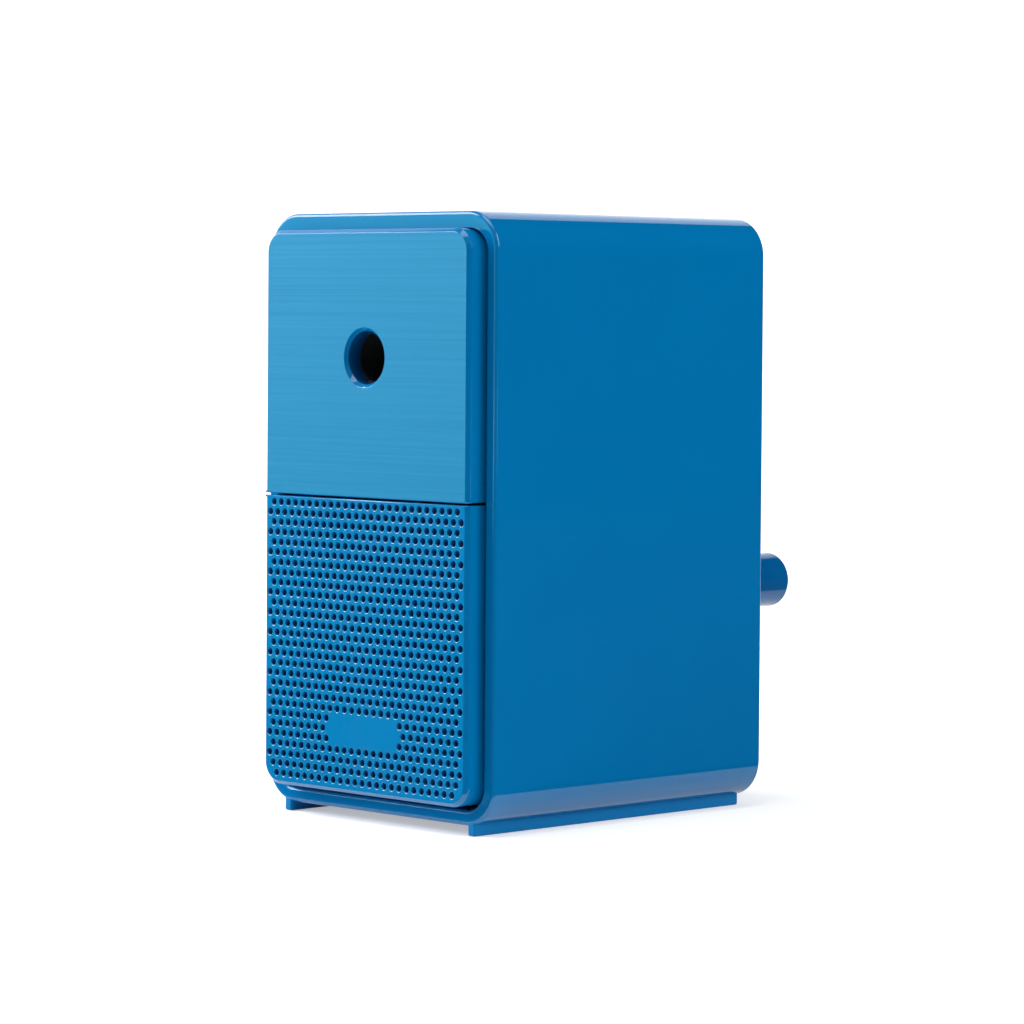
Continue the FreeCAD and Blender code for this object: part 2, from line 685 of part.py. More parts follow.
def shaft_bush():
    flange_back = bush_back + BUSH_FLANGE_THICK
    body = turned([
        (bush_front, 0), (bush_front, BUSH_RADIUS), (bush_back, BUSH_RADIUS),
        (bush_back, BUSH_FLANGE), (flange_back, BUSH_FLANGE), (flange_back, 0),
    ])
    return body.cut(rod(SHAFT_RADIUS + RUN, bush_front, flange_back))


def thrust_washer():
    back = bush_front - END_PLAY
    return tube(SHAFT_RADIUS + RUN, THRUST_RADIUS, back - WASHER_THICK, back)


def retaining_clip():
    inner = SHAFT_RADIUS - CLIP_GROOVE + FIT
    ring = tube(inner, CLIP_RADIUS, clip_y + END_PLAY / 2, clip_y + END_PLAY / 2 + CLIP_THICK)
    mouth = box(-inner, inner, clip_y, clip_y + 2 * CLIP_THICK, axis_z - CLIP_RADIUS, axis_z)
    return ring.cut(mouth)


# Crank

def tapered_bar(big, small, length, y0, y1):
    """A bar hanging from the crank's axis, with round ends joined by tangents."""
    lean = math.asin((big - small) / length)
    across, along = math.cos(lean), math.sin(lean)
    top = [Vec(-big * across, y0, axis_z - big * along), Vec(0, y0, axis_z + big),
           Vec(big * across, y0, axis_z - big * along)]
    low = axis_z - length
    end = [Vec(small * across, y0, low - small * along), Vec(0, y0, low - small),
           Vec(-small * across, y0, low - small * along)]
    edges = [
        Part.Arc(*top).toShape(), Part.makeLine(top[2], end[0]),
        Part.Arc(*end).toShape(), Part.makeLine(end[2], top[0]),
    ]
    return Part.Face(Part.Wire(edges)).extrude(Vec(0, y1 - y0, 0))


def crank_arm():
    bar = tapered_bar(ARM_HUB - ARM_EDGE, ARM_END, CRANK_RADIUS, bar_front, bar_back)
    rims = edges_at(bar, bar_front, 0, 2 * axis_z) + edges_at(bar, bar_back, 0, 2 * axis_z)
    bar = bar.makeFillet(ARM_EDGE, rims)
    hub = rod(ARM_HUB, arm_front, arm_back)
    hub = hub.makeFillet(ARM_EDGE, edges_at(hub, arm_back, 0, 2 * axis_z))
    body = fuse_all(bar, [hub])
    bore = rod(SHAFT_RADIUS + FIT, arm_front, shaft_back)
    flat = box(-ARM_HUB, ARM_HUB, arm_front, shaft_back,
               axis_z + SHAFT_RADIUS - SHAFT_FLAT + FIT, axis_z + ARM_HUB)
    holes = [bore.cut(flat), rod(CRANK_SCREW_HEAD + REST, shaft_back, arm_back),
             rod(KNOB_PIN + FIT, bar_front, bar_back, 0, knob_z)]
    return cut_all(body, holes)


def crank_screw():
    return screws([(0, axis_z)], shaft_back, SCREW_BITE, -1, CRANK_SCREW_SHANK, CRANK_SCREW_HEAD)[0]


def crank_knob():
    body = turned([
        (knob_front, 0), (knob_front, KNOB_NECK), (knob_end, KNOB_RADIUS), (knob_end, 0),
    ], knob_z)
    rims = edges_at(body, knob_front, 0, 2 * axis_z) + edges_at(body, knob_end, 0, 2 * axis_z)
    body = body.makeFillet(KNOB_EDGE, rims)
    sink = rod(KNOB_PIN_HEAD + REST, pin_head_front - END_PLAY, knob_end, 0, knob_z)
    return body.cut(rod(KNOB_PIN + RUN, knob_front, knob_end, 0, knob_z)).cut(sink)


def knob_pin():
    shank = rod(KNOB_PIN, bar_front, pin_head_front, 0, knob_z)
    head_back = pin_head_front + KNOB_PIN_HEAD_THICK
    head = rod(KNOB_PIN_HEAD, pin_head_front, head_back, 0, knob_z)
    head = head.makeFillet(KNOB_PIN_DOME, edges_at(head, head_back, 0, 2 * axis_z))
    return fuse_all(shank, [head])


# Drawer

def pit_places():
    """Staggered rows of pits, less those at the rounded corners and on the bare patch."""
    width = 2 * (front_half - PIT_SIDE)
    columns = int(width / PIT_PITCH) + 1
    rows = int((drawer_top - PIT_TOP - drawer_low - PIT_BOTTOM) / PIT_ROW) + 1
    patch_low = drawer_low + PATCH_RISE
    places = []
    for row in range(rows):
        z = drawer_top - PIT_TOP - row * PIT_ROW
        count = columns - 1 + row % 2
        for column in range(count):
            x = (column - (count - 1) / 2) * PIT_PITCH
            on_patch = abs(x) < PATCH_HALF and patch_low < z < patch_low + PATCH_HEIGHT
            beyond = max(abs(x) - (front_half - front_corner), 0)
            below = max(drawer_low + front_corner - z, 0)
            at_corner = beyond > 0 and math.hypot(beyond, below) > front_corner - PIT_CORNER and below > 0
            if not on_patch and not at_corner:
                places.append((x, z))
    return places


def drawer_front():
    body = front_block(front_half, drawer_low, drawer_top, front_corner, 0, -FRONT_PROUD, tray_front)
    body = body.makeChamfer(FRONT_EDGE, edges_at(body, -FRONT_PROUD, 0, drawer_top))
    body = parting_edge(body, drawer_top)
    hollow = front_block(
        front_half - RETURN_WALL, drawer_low + RETURN_WALL, drawer_top - RETURN_WALL,
        front_corner - RETURN_WALL, 0, drawer_back, tray_front,
    )
    body = body.cut(hollow)
    bosses = [rod(TRAY_BOSS, drawer_back, tray_front, x, z) for x, z in tray_screws]
    body = fuse_all(body, bosses)
    body = cut_all(body, screw_holes(tray_screws, tray_front - TRAY_SCREW_BITE - REST, tray_front))
    pits = [rod(PIT_RADIUS, -FRONT_PROUD, PIT_DEPTH - FRONT_PROUD, x, z) for x, z in pit_places()]
    return cut_all(body, pits)


def drawer_tray():
    top = tray_low + TRAY_HEIGHT
    body = floor_block(tray_half, tray_front, tray_back, TRAY_CORNER, tray_low, top)
    hollow = floor_block(
        tray_half - TRAY_WALL, tray_front + TRAY_WALL, tray_back - TRAY_WALL,
        TRAY_CORNER - TRAY_WALL, tray_low + TRAY_WALL, top,
    )
    body = body.cut(hollow)
    foot = inner_low + REST
    runners = []
    for side in (-1, 1):
        left = side * RUNNER_SPREAD - RUNNER_WIDTH / 2
        right = left + RUNNER_WIDTH
        runners.append(box(left, right, tray_front + TRAY_CORNER, tray_back - TRAY_CORNER, foot, tray_low))
    body = fuse_all(body, runners)
    return cut_all(body, screw_holes(tray_screws, tray_front, tray_front + TRAY_WALL))


os.makedirs("parts", exist_ok=True)
save("outer_shell", outer_shell())
save("front_panel", front_panel())
save("face_plate", face_plate())
save("rear_cover", rear_cover())
save("gear_frame", gear_frame())
save("pencil_guide", pencil_guide())
save("ring_gear", ring_gear())
save("cutter_carrier", cutter_carrier())
save("cutter_axle", cutter_axle())
save("helical_cutter", helical_cutter())
save("cutter_pinion", cutter_pinion())
save("cutter_washers", *cutter_washers())
save("crank_shaft", crank_shaft())
save("drive_pin", drive_pin())
save("shaft_bush", shaft_bush())
save("thrust_washer", thrust_washer())
save("retaining_clip", retaining_clip())
save("crank_arm", crank_arm())
save("crank_screw", crank_screw())
save("crank_knob", crank_knob())
save("knob_pin", knob_pin())
save("drawer_front", drawer_front())
save("drawer_tray", drawer_tray())
save("tray_screws", *screws(tray_screws, tray_front + TRAY_WALL, TRAY_WALL + TRAY_SCREW_BITE, -1))
save("panel_screws", *screws(panel_screw_places, bulkhead_back, BULKHEAD + SCREW_BITE - REST, -1))
save("cover_screws", *screws(cover_screw_places, cover_out - SCREW_HEAD_THICK, SCREW_BITE, -1))
save("frame_screws", *screws(frame_screw_places, cover_out - SCREW_HEAD_THICK, SCREW_BITE, -1))
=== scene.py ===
import json
import math
import bpy
import bmesh
from mathutils import Matrix, Vector
from mathutils.geometry import delaunay_2d_cdt


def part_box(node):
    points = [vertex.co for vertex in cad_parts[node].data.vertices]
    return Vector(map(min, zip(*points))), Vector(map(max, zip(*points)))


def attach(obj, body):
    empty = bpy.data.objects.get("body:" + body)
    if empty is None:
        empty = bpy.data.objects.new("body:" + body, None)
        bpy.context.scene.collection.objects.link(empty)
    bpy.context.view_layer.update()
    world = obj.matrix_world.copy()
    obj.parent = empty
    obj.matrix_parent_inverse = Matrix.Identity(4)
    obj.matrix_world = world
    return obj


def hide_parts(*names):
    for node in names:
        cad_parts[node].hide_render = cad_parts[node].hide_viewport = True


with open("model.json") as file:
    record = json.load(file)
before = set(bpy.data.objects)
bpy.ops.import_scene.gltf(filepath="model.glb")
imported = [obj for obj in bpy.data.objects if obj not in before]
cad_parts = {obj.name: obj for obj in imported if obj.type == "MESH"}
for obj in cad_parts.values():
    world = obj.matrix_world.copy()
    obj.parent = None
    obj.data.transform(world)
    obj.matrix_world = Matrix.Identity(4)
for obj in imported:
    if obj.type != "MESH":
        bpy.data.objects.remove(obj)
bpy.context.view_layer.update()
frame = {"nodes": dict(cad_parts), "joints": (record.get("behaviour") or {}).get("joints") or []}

mm = 0.001
scene = bpy.context.scene
scene.view_settings.view_transform = "Standard"
cadNodes = frame["nodes"]


# Outlines and lofts

def softenCorners(corners, closed, steps=4):
    # corners are (a, b, radius); each corner becomes an arc that touches its two sides
    points = []
    count = len(corners)
    for index, (a, b, radius) in enumerate(corners):
        here = Vector((a, b))
        if radius <= 0 or (not closed and index in (0, count - 1)):
            points.append(here)
            continue
        before = (Vector(corners[index - 1][:2]) - here).normalized()
        after = (Vector(corners[(index + 1) % count][:2]) - here).normalized()
        half = before.angle(after) / 2
        middle = here + (before + after).normalized() * (radius / math.sin(half))
        start = here + before * (radius / math.tan(half)) - middle
        sweep = start.angle_signed(here + after * (radius / math.tan(half)) - middle)
        for step in range(steps + 1):
            turn = Matrix.Rotation(-sweep * step / steps, 2)
            points.append(middle + turn @ start)
    return points


def frontOutline(half, low, high, lowRound, highRound, steps=12):
    # rounded rectangle seen from the front, as (place, outward) pairs
    points = []
    places = (
        (-1, low, lowRound, 180), (1, low, lowRound, 270),
        (1, high, highRound, 0), (-1, high, highRound, 90),
    )
    for side, edge, radius, start in places:
        centreX = side * (half - radius)
        centreZ = edge + radius if edge == low else edge - radius
        for step in range(steps + 1):
            angle = math.radians(start + 90 * step / steps)
            outward = Vector((math.cos(angle), math.sin(angle)))
            points.append((Vector((centreX, centreZ)) + outward * radius, outward))
    return points


def loopAt(mesh, outline, inset, y, share=None):
    # one ring of the outline, drawn in by inset; share scales inset and depth along it
    ring = []
    for place, outward in outline:
        part = share(outward) if share else 1.0
        spot = place - outward * inset * part
        depth = share.front + (y - share.front) * part if share else y
        ring.append(mesh.verts.new((spot.x, depth, spot.y)))
    return ring


def roundLoop(mesh, centre, radius, y, count):
    ring = []
    for index in range(count):
        angle = 2 * math.pi * (index + 0.5) / count
        x, z = centre[0] + radius * math.cos(angle), centre[1] + radius * math.sin(angle)
        ring.append(mesh.verts.new((x, y, z)))
    return ring


def bridge(mesh, first, second, material=0):
    count = len(first)
    for index in range(count):
        follow = (index + 1) % count
        face = mesh.faces.new((first[index], first[follow], second[follow], second[index]))
        face.material_index = material


def fillBetween(mesh, rings, material=0):
    # flat triangles inside the first ring and outside the others
    verts = [vert for ring in rings for vert in ring]
    places = [Vector((vert.co.x, vert.co.z)) / mm for vert in verts]
    loops = []
    for ring in rings:
        start = loops[-1][-1] + 1 if loops else 0
        loops.append(list(range(start, start + len(ring))))
    insideOnly, closest = 1, 1e-6
    made = delaunay_2d_cdt(places, [], loops, insideOnly, closest)
    faces, sources, owners = made[2], made[3], made[5]
    for face, owner in zip(faces, owners):
        if list(owner) == [0]:
            corners = [verts[sources[corner][0]] for corner in face]
            mesh.faces.new(corners).material_index = material


def addBlock(mesh, low, high, edge=0.0, steps=2, material=0):
    # rounded box between two corners
    earlier = set(mesh.faces)
    made = bmesh.ops.create_cube(mesh, size=1.0)
    centre = (Vector(low) + Vector(high)) / 2
    size = Vector(high) - Vector(low)
    for vert in made["verts"]:
        vert.co = centre + Vector(a * b for a, b in zip(vert.co, size))
    if edge > 0:
        edges = {item for vert in made["verts"] for item in vert.link_edges}
        bmesh.ops.bevel(mesh, geom=list(edges), offset=edge, segments=steps, profile=0.5, affect="EDGES")
    for face in mesh.faces:
        if face not in earlier:
            face.material_index = material


def addTube(mesh, centre, outer, bore, front, back, count=48):
    # closed tube along Y
    corners = ((outer, front), (outer, back), (bore, back), (bore, front))
    rings = [roundLoop(mesh, centre, radius, y, count) for radius, y in corners]
    for first, second in zip(rings, rings[1:] + rings[:1]):
        bridge(mesh, first, second)


def addPiece(name, mesh, body, materials, nodes=(), sharpest=40, flatAt=None):
    # flatAt is the depth of a flat face whose corners all keep its own normal
    bmesh.ops.recalc_face_normals(mesh, faces=mesh.faces)
    data = bpy.data.meshes.new(name)
    mesh.to_mesh(data)
    mesh.free()
    for material in materials:
        data.materials.append(material)
    for polygon in data.polygons:
        polygon.use_smooth = True
    data.set_sharp_from_angle(angle=math.radians(sharpest))
    piece = bpy.data.objects.new(name, data)
    scene.collection.objects.link(piece)
    if flatAt is None:
        evenNormals = piece.modifiers.new("evenNormals", "WEIGHTED_NORMAL")
        evenNormals.weight = 100
        evenNormals.keep_sharp = True
    else:
        normals = [corner.vector.copy() for corner in data.corner_normals]
        for loop in data.loops:
            if abs(data.vertices[loop.vertex_index].co.y - flatAt) < 1e-7:
                normals[loop.index] = Vector((0, -1, 0))
        data.normals_split_custom_set(normals)
    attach(piece, body)
    if nodes:
        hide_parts(*nodes)
    return piece


# Shader groups shared by the finishes

def startGroup(name, inputs, outputs):
    group = bpy.data.node_groups.new(name, "ShaderNodeTree")
    for label, kind, value in inputs:
        socket = group.interface.new_socket(label, in_out="INPUT", socket_type=kind)
        socket.default_value = value
    for label, kind in outputs:
        group.interface.new_socket(label, in_out="OUTPUT", socket_type=kind)
    return group, group.nodes.new("NodeGroupInput"), group.nodes.new("NodeGroupOutput")


def addNode(tree, kind, values=None, **settings):
    node = tree.nodes.new(kind)
    for key, value in settings.items():
        setattr(node, key, value)
    for key, value in (values or {}).items():
        if isinstance(value, bpy.types.NodeSocket):
            tree.links.new(value, node.inputs[key])
        else:
            node.inputs[key].default_value = value
    return node


def mathNode(tree, operation, first, second=0.0):
    return addNode(tree, "ShaderNodeMath", {0: first, 1: second}, operation=operation).outputs[0]


def spread(tree, value, low, high, toLow=0.0, toHigh=1.0):
    values = {"Value": value, "From Min": low, "From Max": high, "To Min": toLow, "To Max": toHigh}
    return addNode(tree, "ShaderNodeMapRange", values).outputs["Result"]


def noiseNode(tree, coords, scale, detail, **values):
    noise = {"Vector": coords, "Scale": scale, "Detail": detail, **values}
    return addNode(tree, "ShaderNodeTexNoise", noise).outputs["Fac"]


def buildMouldSkin():
    # fine moulded texture: slow tone drift, and a small height ripple
    group, inlet, outlet = startGroup(
        "mouldSkin",
        [("Grain", "NodeSocketFloat", 1500.0), ("Drift", "NodeSocketFloat", 40.0)],
        [("Tone", "NodeSocketFloat"), ("Height", "NodeSocketFloat")],
    )
    coords = group.nodes.new("ShaderNodeTexCoord").outputs["Object"]
    drift = noiseNode(group, coords, inlet.outputs["Drift"], 3.0)
    grain = noiseNode(group, coords, inlet.outputs["Grain"], 2.0)
    group.links.new(spread(group, drift, 0.3, 0.7), outlet.inputs["Tone"])
    group.links.new(grain, outlet.inputs["Height"])
    return group


def buildBrushLines():
    # long fine lines along X
    group, inlet, outlet = startGroup(
        "brushLines",
        [("Fineness", "NodeSocketFloat", 1.0)],
        [("Tone", "NodeSocketFloat"), ("Height", "NodeSocketFloat")],
    )
    coords = group.nodes.new("ShaderNodeTexCoord").outputs["Object"]
    layers = []
    for stretch, across, weight in ((9.0, 1900.0, 0.6), (28.0, 5200.0, 0.4)):
        mapping = addNode(group, "ShaderNodeMapping", {"Vector": coords, "Scale": (stretch, across, across)})
        noise = noiseNode(group, mapping.outputs[0], inlet.outputs["Fineness"], 2.0, Roughness=0.6)
        layers.append(mathNode(group, "MULTIPLY", noise, weight))
    both = mathNode(group, "ADD", *layers)
    group.links.new(spread(group, both, 0.36, 0.64), outlet.inputs["Tone"])
    group.links.new(both, outlet.inputs["Height"])
    return group


def buildEdgeWearSheen():
    # paler on sharp edges, broken up by noise: partly edge wear, partly a painted sheen
    group, inlet, outlet = startGroup(
        "edgeWearSheen",
        [("Reach", "NodeSocketFloat", 0.56), ("Patches", "NodeSocketFloat", 300.0)],
        [("Mask", "NodeSocketFloat")],
    )
    coords = group.nodes.new("ShaderNodeTexCoord").outputs["Object"]
    bend = group.nodes.new("ShaderNodeNewGeometry").outputs["Pointiness"]
    noise = noiseNode(group, coords, inlet.outputs["Patches"], 4.0)
    edge = spread(group, bend, 0.51, inlet.outputs["Reach"])
    group.links.new(mathNode(group, "MULTIPLY", edge, noise), outlet.inputs["Mask"])
    return group


def buildHandFilm():
    # faint smears that make gloss uneven
    group, inlet, outlet = startGroup(
        "handFilm",
        [("Size", "NodeSocketFloat", 60.0)],
        [("Mask", "NodeSocketFloat")],
    )
    coords = group.nodes.new("ShaderNodeTexCoord").outputs["Object"]
    smear = noiseNode(group, coords, inlet.outputs["Size"], 5.0, Roughness=0.62, Distortion=0.6)
    group.links.new(spread(group, smear, 0.42, 0.68), outlet.inputs["Mask"])
    return group


def buildBoreShade():
    # painted shade inside the pencil hole: a dark navy, strongest away from the mouth, in patches
    group, inlet, outlet = startGroup(
        "borePaintedShade",
        [("Axis", "NodeSocketVector", (0.0, 0.0, 0.0)), ("Radius", "NodeSocketFloat", 0.005)],
        [("Mask", "NodeSocketFloat")],
    )
    coords = group.nodes.new("ShaderNodeTexCoord").outputs["Object"]
    away = addNode(group, "ShaderNodeVectorMath", {0: coords, 1: inlet.outputs["Axis"]}, operation="SUBTRACT")
    parts = addNode(group, "ShaderNodeSeparateXYZ", {"Vector": away.outputs[0]})
    across = {"X": parts.outputs["X"], "Y": 0.0, "Z": parts.outputs["Z"]}
    flat = addNode(group, "ShaderNodeCombineXYZ", across)
    reach = addNode(group, "ShaderNodeVectorMath", {0: flat.outputs[0]}, operation="LENGTH").outputs["Value"]
    inside = mathNode(group, "LESS_THAN", reach, inlet.outputs["Radius"])
    deeper = spread(group, parts.outputs["Y"], 0.0, 0.003, 0.55, 0.92)
    patchy = spread(group, noiseNode(group, coords, 500.0, 4.0), 0.3, 0.7, 0.9, 1.0)
    mask = mathNode(group, "MULTIPLY", mathNode(group, "MULTIPLY", inside, deeper), patchy)
    group.links.new(mask, outlet.inputs["Mask"])
    return group


def buildTurnMarks():
    # rings left by a lathe or a grinding wheel, one after another along Y
    group, inlet, outlet = startGroup(
        "turnMarks",
        [("Density", "NodeSocketFloat", 4000.0)],
        [("Tone", "NodeSocketFloat"), ("Height", "NodeSocketFloat")],
    )
    coords = group.nodes.new("ShaderNodeTexCoord").outputs["Object"]
    split = addNode(group, "ShaderNodeSeparateXYZ", {"Vector": coords})
    along = addNode(group, "ShaderNodeCombineXYZ", {"X": 0.0, "Y": split.outputs["Y"], "Z": 0.0})
    lines = noiseNode(group, along.outputs[0], inlet.outputs["Density"], 3.0, Roughness=0.7)
    group.links.new(spread(group, lines, 0.35, 0.65), outlet.inputs["Tone"])
    group.links.new(lines, outlet.inputs["Height"])
    return group


mouldSkin = buildMouldSkin()
brushLines = buildBrushLines()
edgeWearSheen = buildEdgeWearSheen()
handFilm = buildHandFilm()
turnMarks = buildTurnMarks()
borePaintedShade = buildBoreShade()
print("shader groups built")


# Finishes

def placeGroup(tree, group, **values):
    node = tree.nodes.new("ShaderNodeGroup")
    node.node_tree = group
    for key, value in values.items():
        node.inputs[key].default_value = value
    return node


def mixColour(tree, share, first, second):
    node = tree.nodes.new("ShaderNodeMix")
    node.data_type = "RGBA"
    for name, value in (("Factor_Float", share), ("A_Color", first), ("B_Color", second)):
        socket = next(item for item in node.inputs if item.identifier == name)
        if isinstance(value, bpy.types.NodeSocket):
            tree.links.new(value, socket)
        else:
            socket.default_value = value if name == "Factor_Float" else (*value, 1.0)
    return next(item for item in node.outputs if item.identifier == "Result_Color")


def startMaterial(name, constants):
    material = bpy.data.materials.new(name)
    material.use_nodes = True
    tree = material.node_tree
    shader = tree.nodes["Principled BSDF"]
    for key, value in constants.items():
        shader.inputs[key].default_value = value
    return material, tree, shader


def bumpFrom(tree, shader, height, strength, distance):
    bump = addNode(tree, "ShaderNodeBump", {"Height": height, "Strength": strength, "Distance": distance})
    tree.links.new(bump.outputs["Normal"], shader.inputs["Normal"])


def plasticFinish(name, look):
    material, tree, shader = startMaterial(name, {"Specular IOR Level": look.get("specular", 0.5)})
    skin = placeGroup(tree, mouldSkin, Grain=look["grain"], Drift=look.get("drift", 40.0))
    film = placeGroup(tree, handFilm, Size=look.get("film", 60.0))
    colour = mixColour(tree, skin.outputs["Tone"], look["deep"], look["pale"])
    if "edge" in look:
        # paler sharp edges: edge wear and a painted sheen
        wearSheen = placeGroup(tree, edgeWearSheen, Reach=look.get("reach", 0.58))
        colour = mixColour(tree, wearSheen.outputs["Mask"], colour, look["edge"])
    # painted shade inside the pencil hole, mixed over the colour
    if "boreShade" in look:
        boreShade = placeGroup(tree, borePaintedShade, Axis=look["bore"], Radius=look["boreRadius"])
        colour = mixColour(tree, boreShade.outputs["Mask"], colour, look["boreShade"])
    tree.links.new(colour, shader.inputs["Base Color"])
    rough = spread(tree, film.outputs["Mask"], 0.0, 1.0, look["smooth"], look["rough"])
    tree.links.new(rough, shader.inputs["Roughness"])
    bumpFrom(tree, shader, skin.outputs["Height"], look["bump"], look.get("depth", 0.02 * mm))
    return material


def metalFinish(name, look):
    material, tree, shader = startMaterial(name, {"Metallic": 1.0})
    marks = placeGroup(tree, turnMarks, Density=look["marks"])
    film = placeGroup(tree, handFilm, Size=look.get("film", 120.0))
    # paler sharp edges: edge wear and a painted sheen
    wearSheen = placeGroup(tree, edgeWearSheen, Reach=0.57)
    colour = mixColour(tree, marks.outputs["Tone"], look["deep"], look["pale"])
    colour = mixColour(tree, wearSheen.outputs["Mask"], colour, look["edge"])
    tree.links.new(colour, shader.inputs["Base Color"])
    rough = spread(tree, film.outputs["Mask"], 0.0, 1.0, look["smooth"], look["rough"])
    tree.links.new(rough, shader.inputs["Roughness"])
    bumpFrom(tree, shader, marks.outputs["Height"], look["bump"], 0.02 * mm)
    return material


def brushedFinish(name, look):
    constants = {"Metallic": look["metallic"], "Specular IOR Level": look["specular"]}
    material, tree, shader = startMaterial(name, constants)
    lines = placeGroup(tree, brushLines, Fineness=look["fineness"])
    film = placeGroup(tree, handFilm, Size=30.0)
    colour = mixColour(tree, lines.outputs["Tone"], look["deep"], look["pale"])
    tree.links.new(colour, shader.inputs["Base Color"])
    rough = spread(tree, lines.outputs["Tone"], 0.0, 1.0, look["rough"], look["smooth"])
    smeared = mathNode(tree, "MULTIPLY", film.outputs["Mask"], look["smear"])
    tree.links.new(mathNode(tree, "ADD", rough, smeared), shader.inputs["Roughness"])
    bumpFrom(tree, shader, lines.outputs["Height"], look["bump"], 0.03 * mm)
    return material


glossLook = {
    "deep": (0.000, 0.155, 0.398), "pale": (0.000, 0.162, 0.410),
    "smooth": 0.055, "rough": 0.085, "grain": 700.0, "bump": 0.01, "specular": 0.5,
}
glossBlue = plasticFinish("glossBlue", glossLook)
skidBlue = plasticFinish("skidBlue", {
    "deep": (0.000, 0.196, 0.500), "pale": (0.000, 0.206, 0.516), "specular": 0.12,
    "smooth": 0.3, "rough": 0.4, "grain": 700.0, "bump": 0.01,
})
boreMouth = (0.0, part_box("face_plate")[0].y, frame["joints"][0]["pos_m"][2])
# panelBlue carries painted shade inside the pencil hole (the dark navy mix)
panelBlue = plasticFinish("panelBlue", {
    **glossLook, "boreShade": (0.000, 0.024, 0.110), "bore": boreMouth, "boreRadius": 4.9 * mm,
})
satinBlue = plasticFinish("satinBlue", {
    "deep": (0.000, 0.140, 0.385), "pale": (0.000, 0.158, 0.420),
    "smooth": 0.34, "rough": 0.44, "grain": 2600.0, "bump": 0.22, "depth": 0.05 * mm,
})
drawerLook = {
    "deep": (0.000, 0.174, 0.402), "pale": (0.000, 0.184, 0.420), "specular": 0.32,
    "smooth": 0.10, "rough": 0.15, "grain": 1200.0, "bump": 0.02,
}
drawerBlue = plasticFinish("drawerBlue", drawerLook)
lipBlue = plasticFinish("lipBlue", {**drawerLook, "smooth": 0.14, "rough": 0.2, "specular": 0.9})
# darker blue for the lower pit walls and floors: painted shade in the pits
pitShadeBlue = plasticFinish("pitShadeBlue", {
    "deep": (0.000, 0.080, 0.270), "pale": (0.000, 0.095, 0.310),
    "smooth": 0.45, "rough": 0.6, "grain": 2000.0, "bump": 0.1,
})
knobBlue = plasticFinish("knobBlue", {
    "deep": (0.000, 0.090, 0.272), "pale": (0.000, 0.100, 0.290), "edge": (0.01, 0.15, 0.40),
    "smooth": 0.14, "rough": 0.22, "grain": 900.0, "bump": 0.03, "specular": 0.36,
})
trayBlue = plasticFinish("trayBlue", {
    "deep": (0.006, 0.095, 0.255), "pale": (0.010, 0.115, 0.290),
    "smooth": 0.36, "rough": 0.52, "grain": 2200.0, "bump": 0.2, "depth": 0.04 * mm,
})
frameGrey = plasticFinish("frameGrey", {
    "deep": (0.026, 0.026, 0.030), "pale": (0.036, 0.036, 0.040), "edge": (0.09, 0.09, 0.10),
    "smooth": 0.42, "rough": 0.58, "grain": 2400.0, "bump": 0.2, "depth": 0.04 * mm,
})
guideBlack = plasticFinish("guideBlack", {
    "deep": (0.006, 0.006, 0.007), "pale": (0.010, 0.010, 0.011), "edge": (0.03, 0.03, 0.03),
    "smooth": 0.32, "rough": 0.46, "grain": 2000.0, "bump": 0.1,
})
acetalWhite = plasticFinish("acetalWhite", {
    "deep": (0.66, 0.65, 0.61), "pale": (0.74, 0.73, 0.70), "edge": (0.80, 0.79, 0.77),
    "smooth": 0.30, "rough": 0.42, "grain": 1800.0, "bump": 0.08,
})
brushedBlue = brushedFinish("brushedBlue", {
    "deep": (0.000, 0.184, 0.366), "pale": (0.005, 0.212, 0.411), "metallic": 0.1, "specular": 0.14,
    "smooth": 0.42, "rough": 0.48, "smear": 0.04, "fineness": 1.0, "bump": 0.08,
})
brightSteel = metalFinish("brightSteel", {
    "deep": (0.50, 0.50, 0.51), "pale": (0.64, 0.64, 0.65), "edge": (0.78, 0.78, 0.78),
    "smooth": 0.22, "rough": 0.34, "marks": 6000.0, "bump": 0.15,
})
toolSteel = metalFinish("toolSteel", {
    "deep": (0.26, 0.26, 0.27), "pale": (0.38, 0.38, 0.39), "edge": (0.66, 0.66, 0.67),
    "smooth": 0.26, "rough": 0.40, "marks": 9000.0, "bump": 0.25,
})
castZinc = metalFinish("castZinc", {
    "deep": (0.36, 0.37, 0.38), "pale": (0.46, 0.47, 0.48), "edge": (0.60, 0.61, 0.62),
    "smooth": 0.44, "rough": 0.58, "marks": 700.0, "bump": 0.35,
})
print("finishes built:", len(bpy.data.materials))


# Screws: sizes and places, which the sleeve's columns share

smallScrew = {"head": 2.2 * mm, "thick": 2.0 * mm, "shank": 1.1 * mm}
screwSizes = {
    "cover_screws": {**smallScrew, "body": "casing", "piece": "coverScrews"},
    "frame_screws": {**smallScrew, "body": "casing", "piece": "frameScrews"},
    "tray_screws": {**smallScrew, "body": "drawer", "piece": "trayScrews"},
    "crank_screw": {
        "head": 3.6 * mm, "thick": 2.0 * mm, "shank": 1.25 * mm, "body": "crank", "piece": "crankScrew",
    },
}


def screwPlaces(name):
    # middles of the separate screws in one CAD node, from its own corners
    low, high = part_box(name)
    head = screwSizes[name]["head"]
    xs = [low.x + head, high.x - head] if high.x - low.x > 3 * head else [(low.x + high.x) / 2]
    zs = [low.z + head, high.z - head] if high.z - low.z > 3 * head else [(low.z + high.z) / 2]
    return [(x, z) for x in xs for z in zs], low.y, high.y


# Sleeve with its two skids, ledges and screw columns

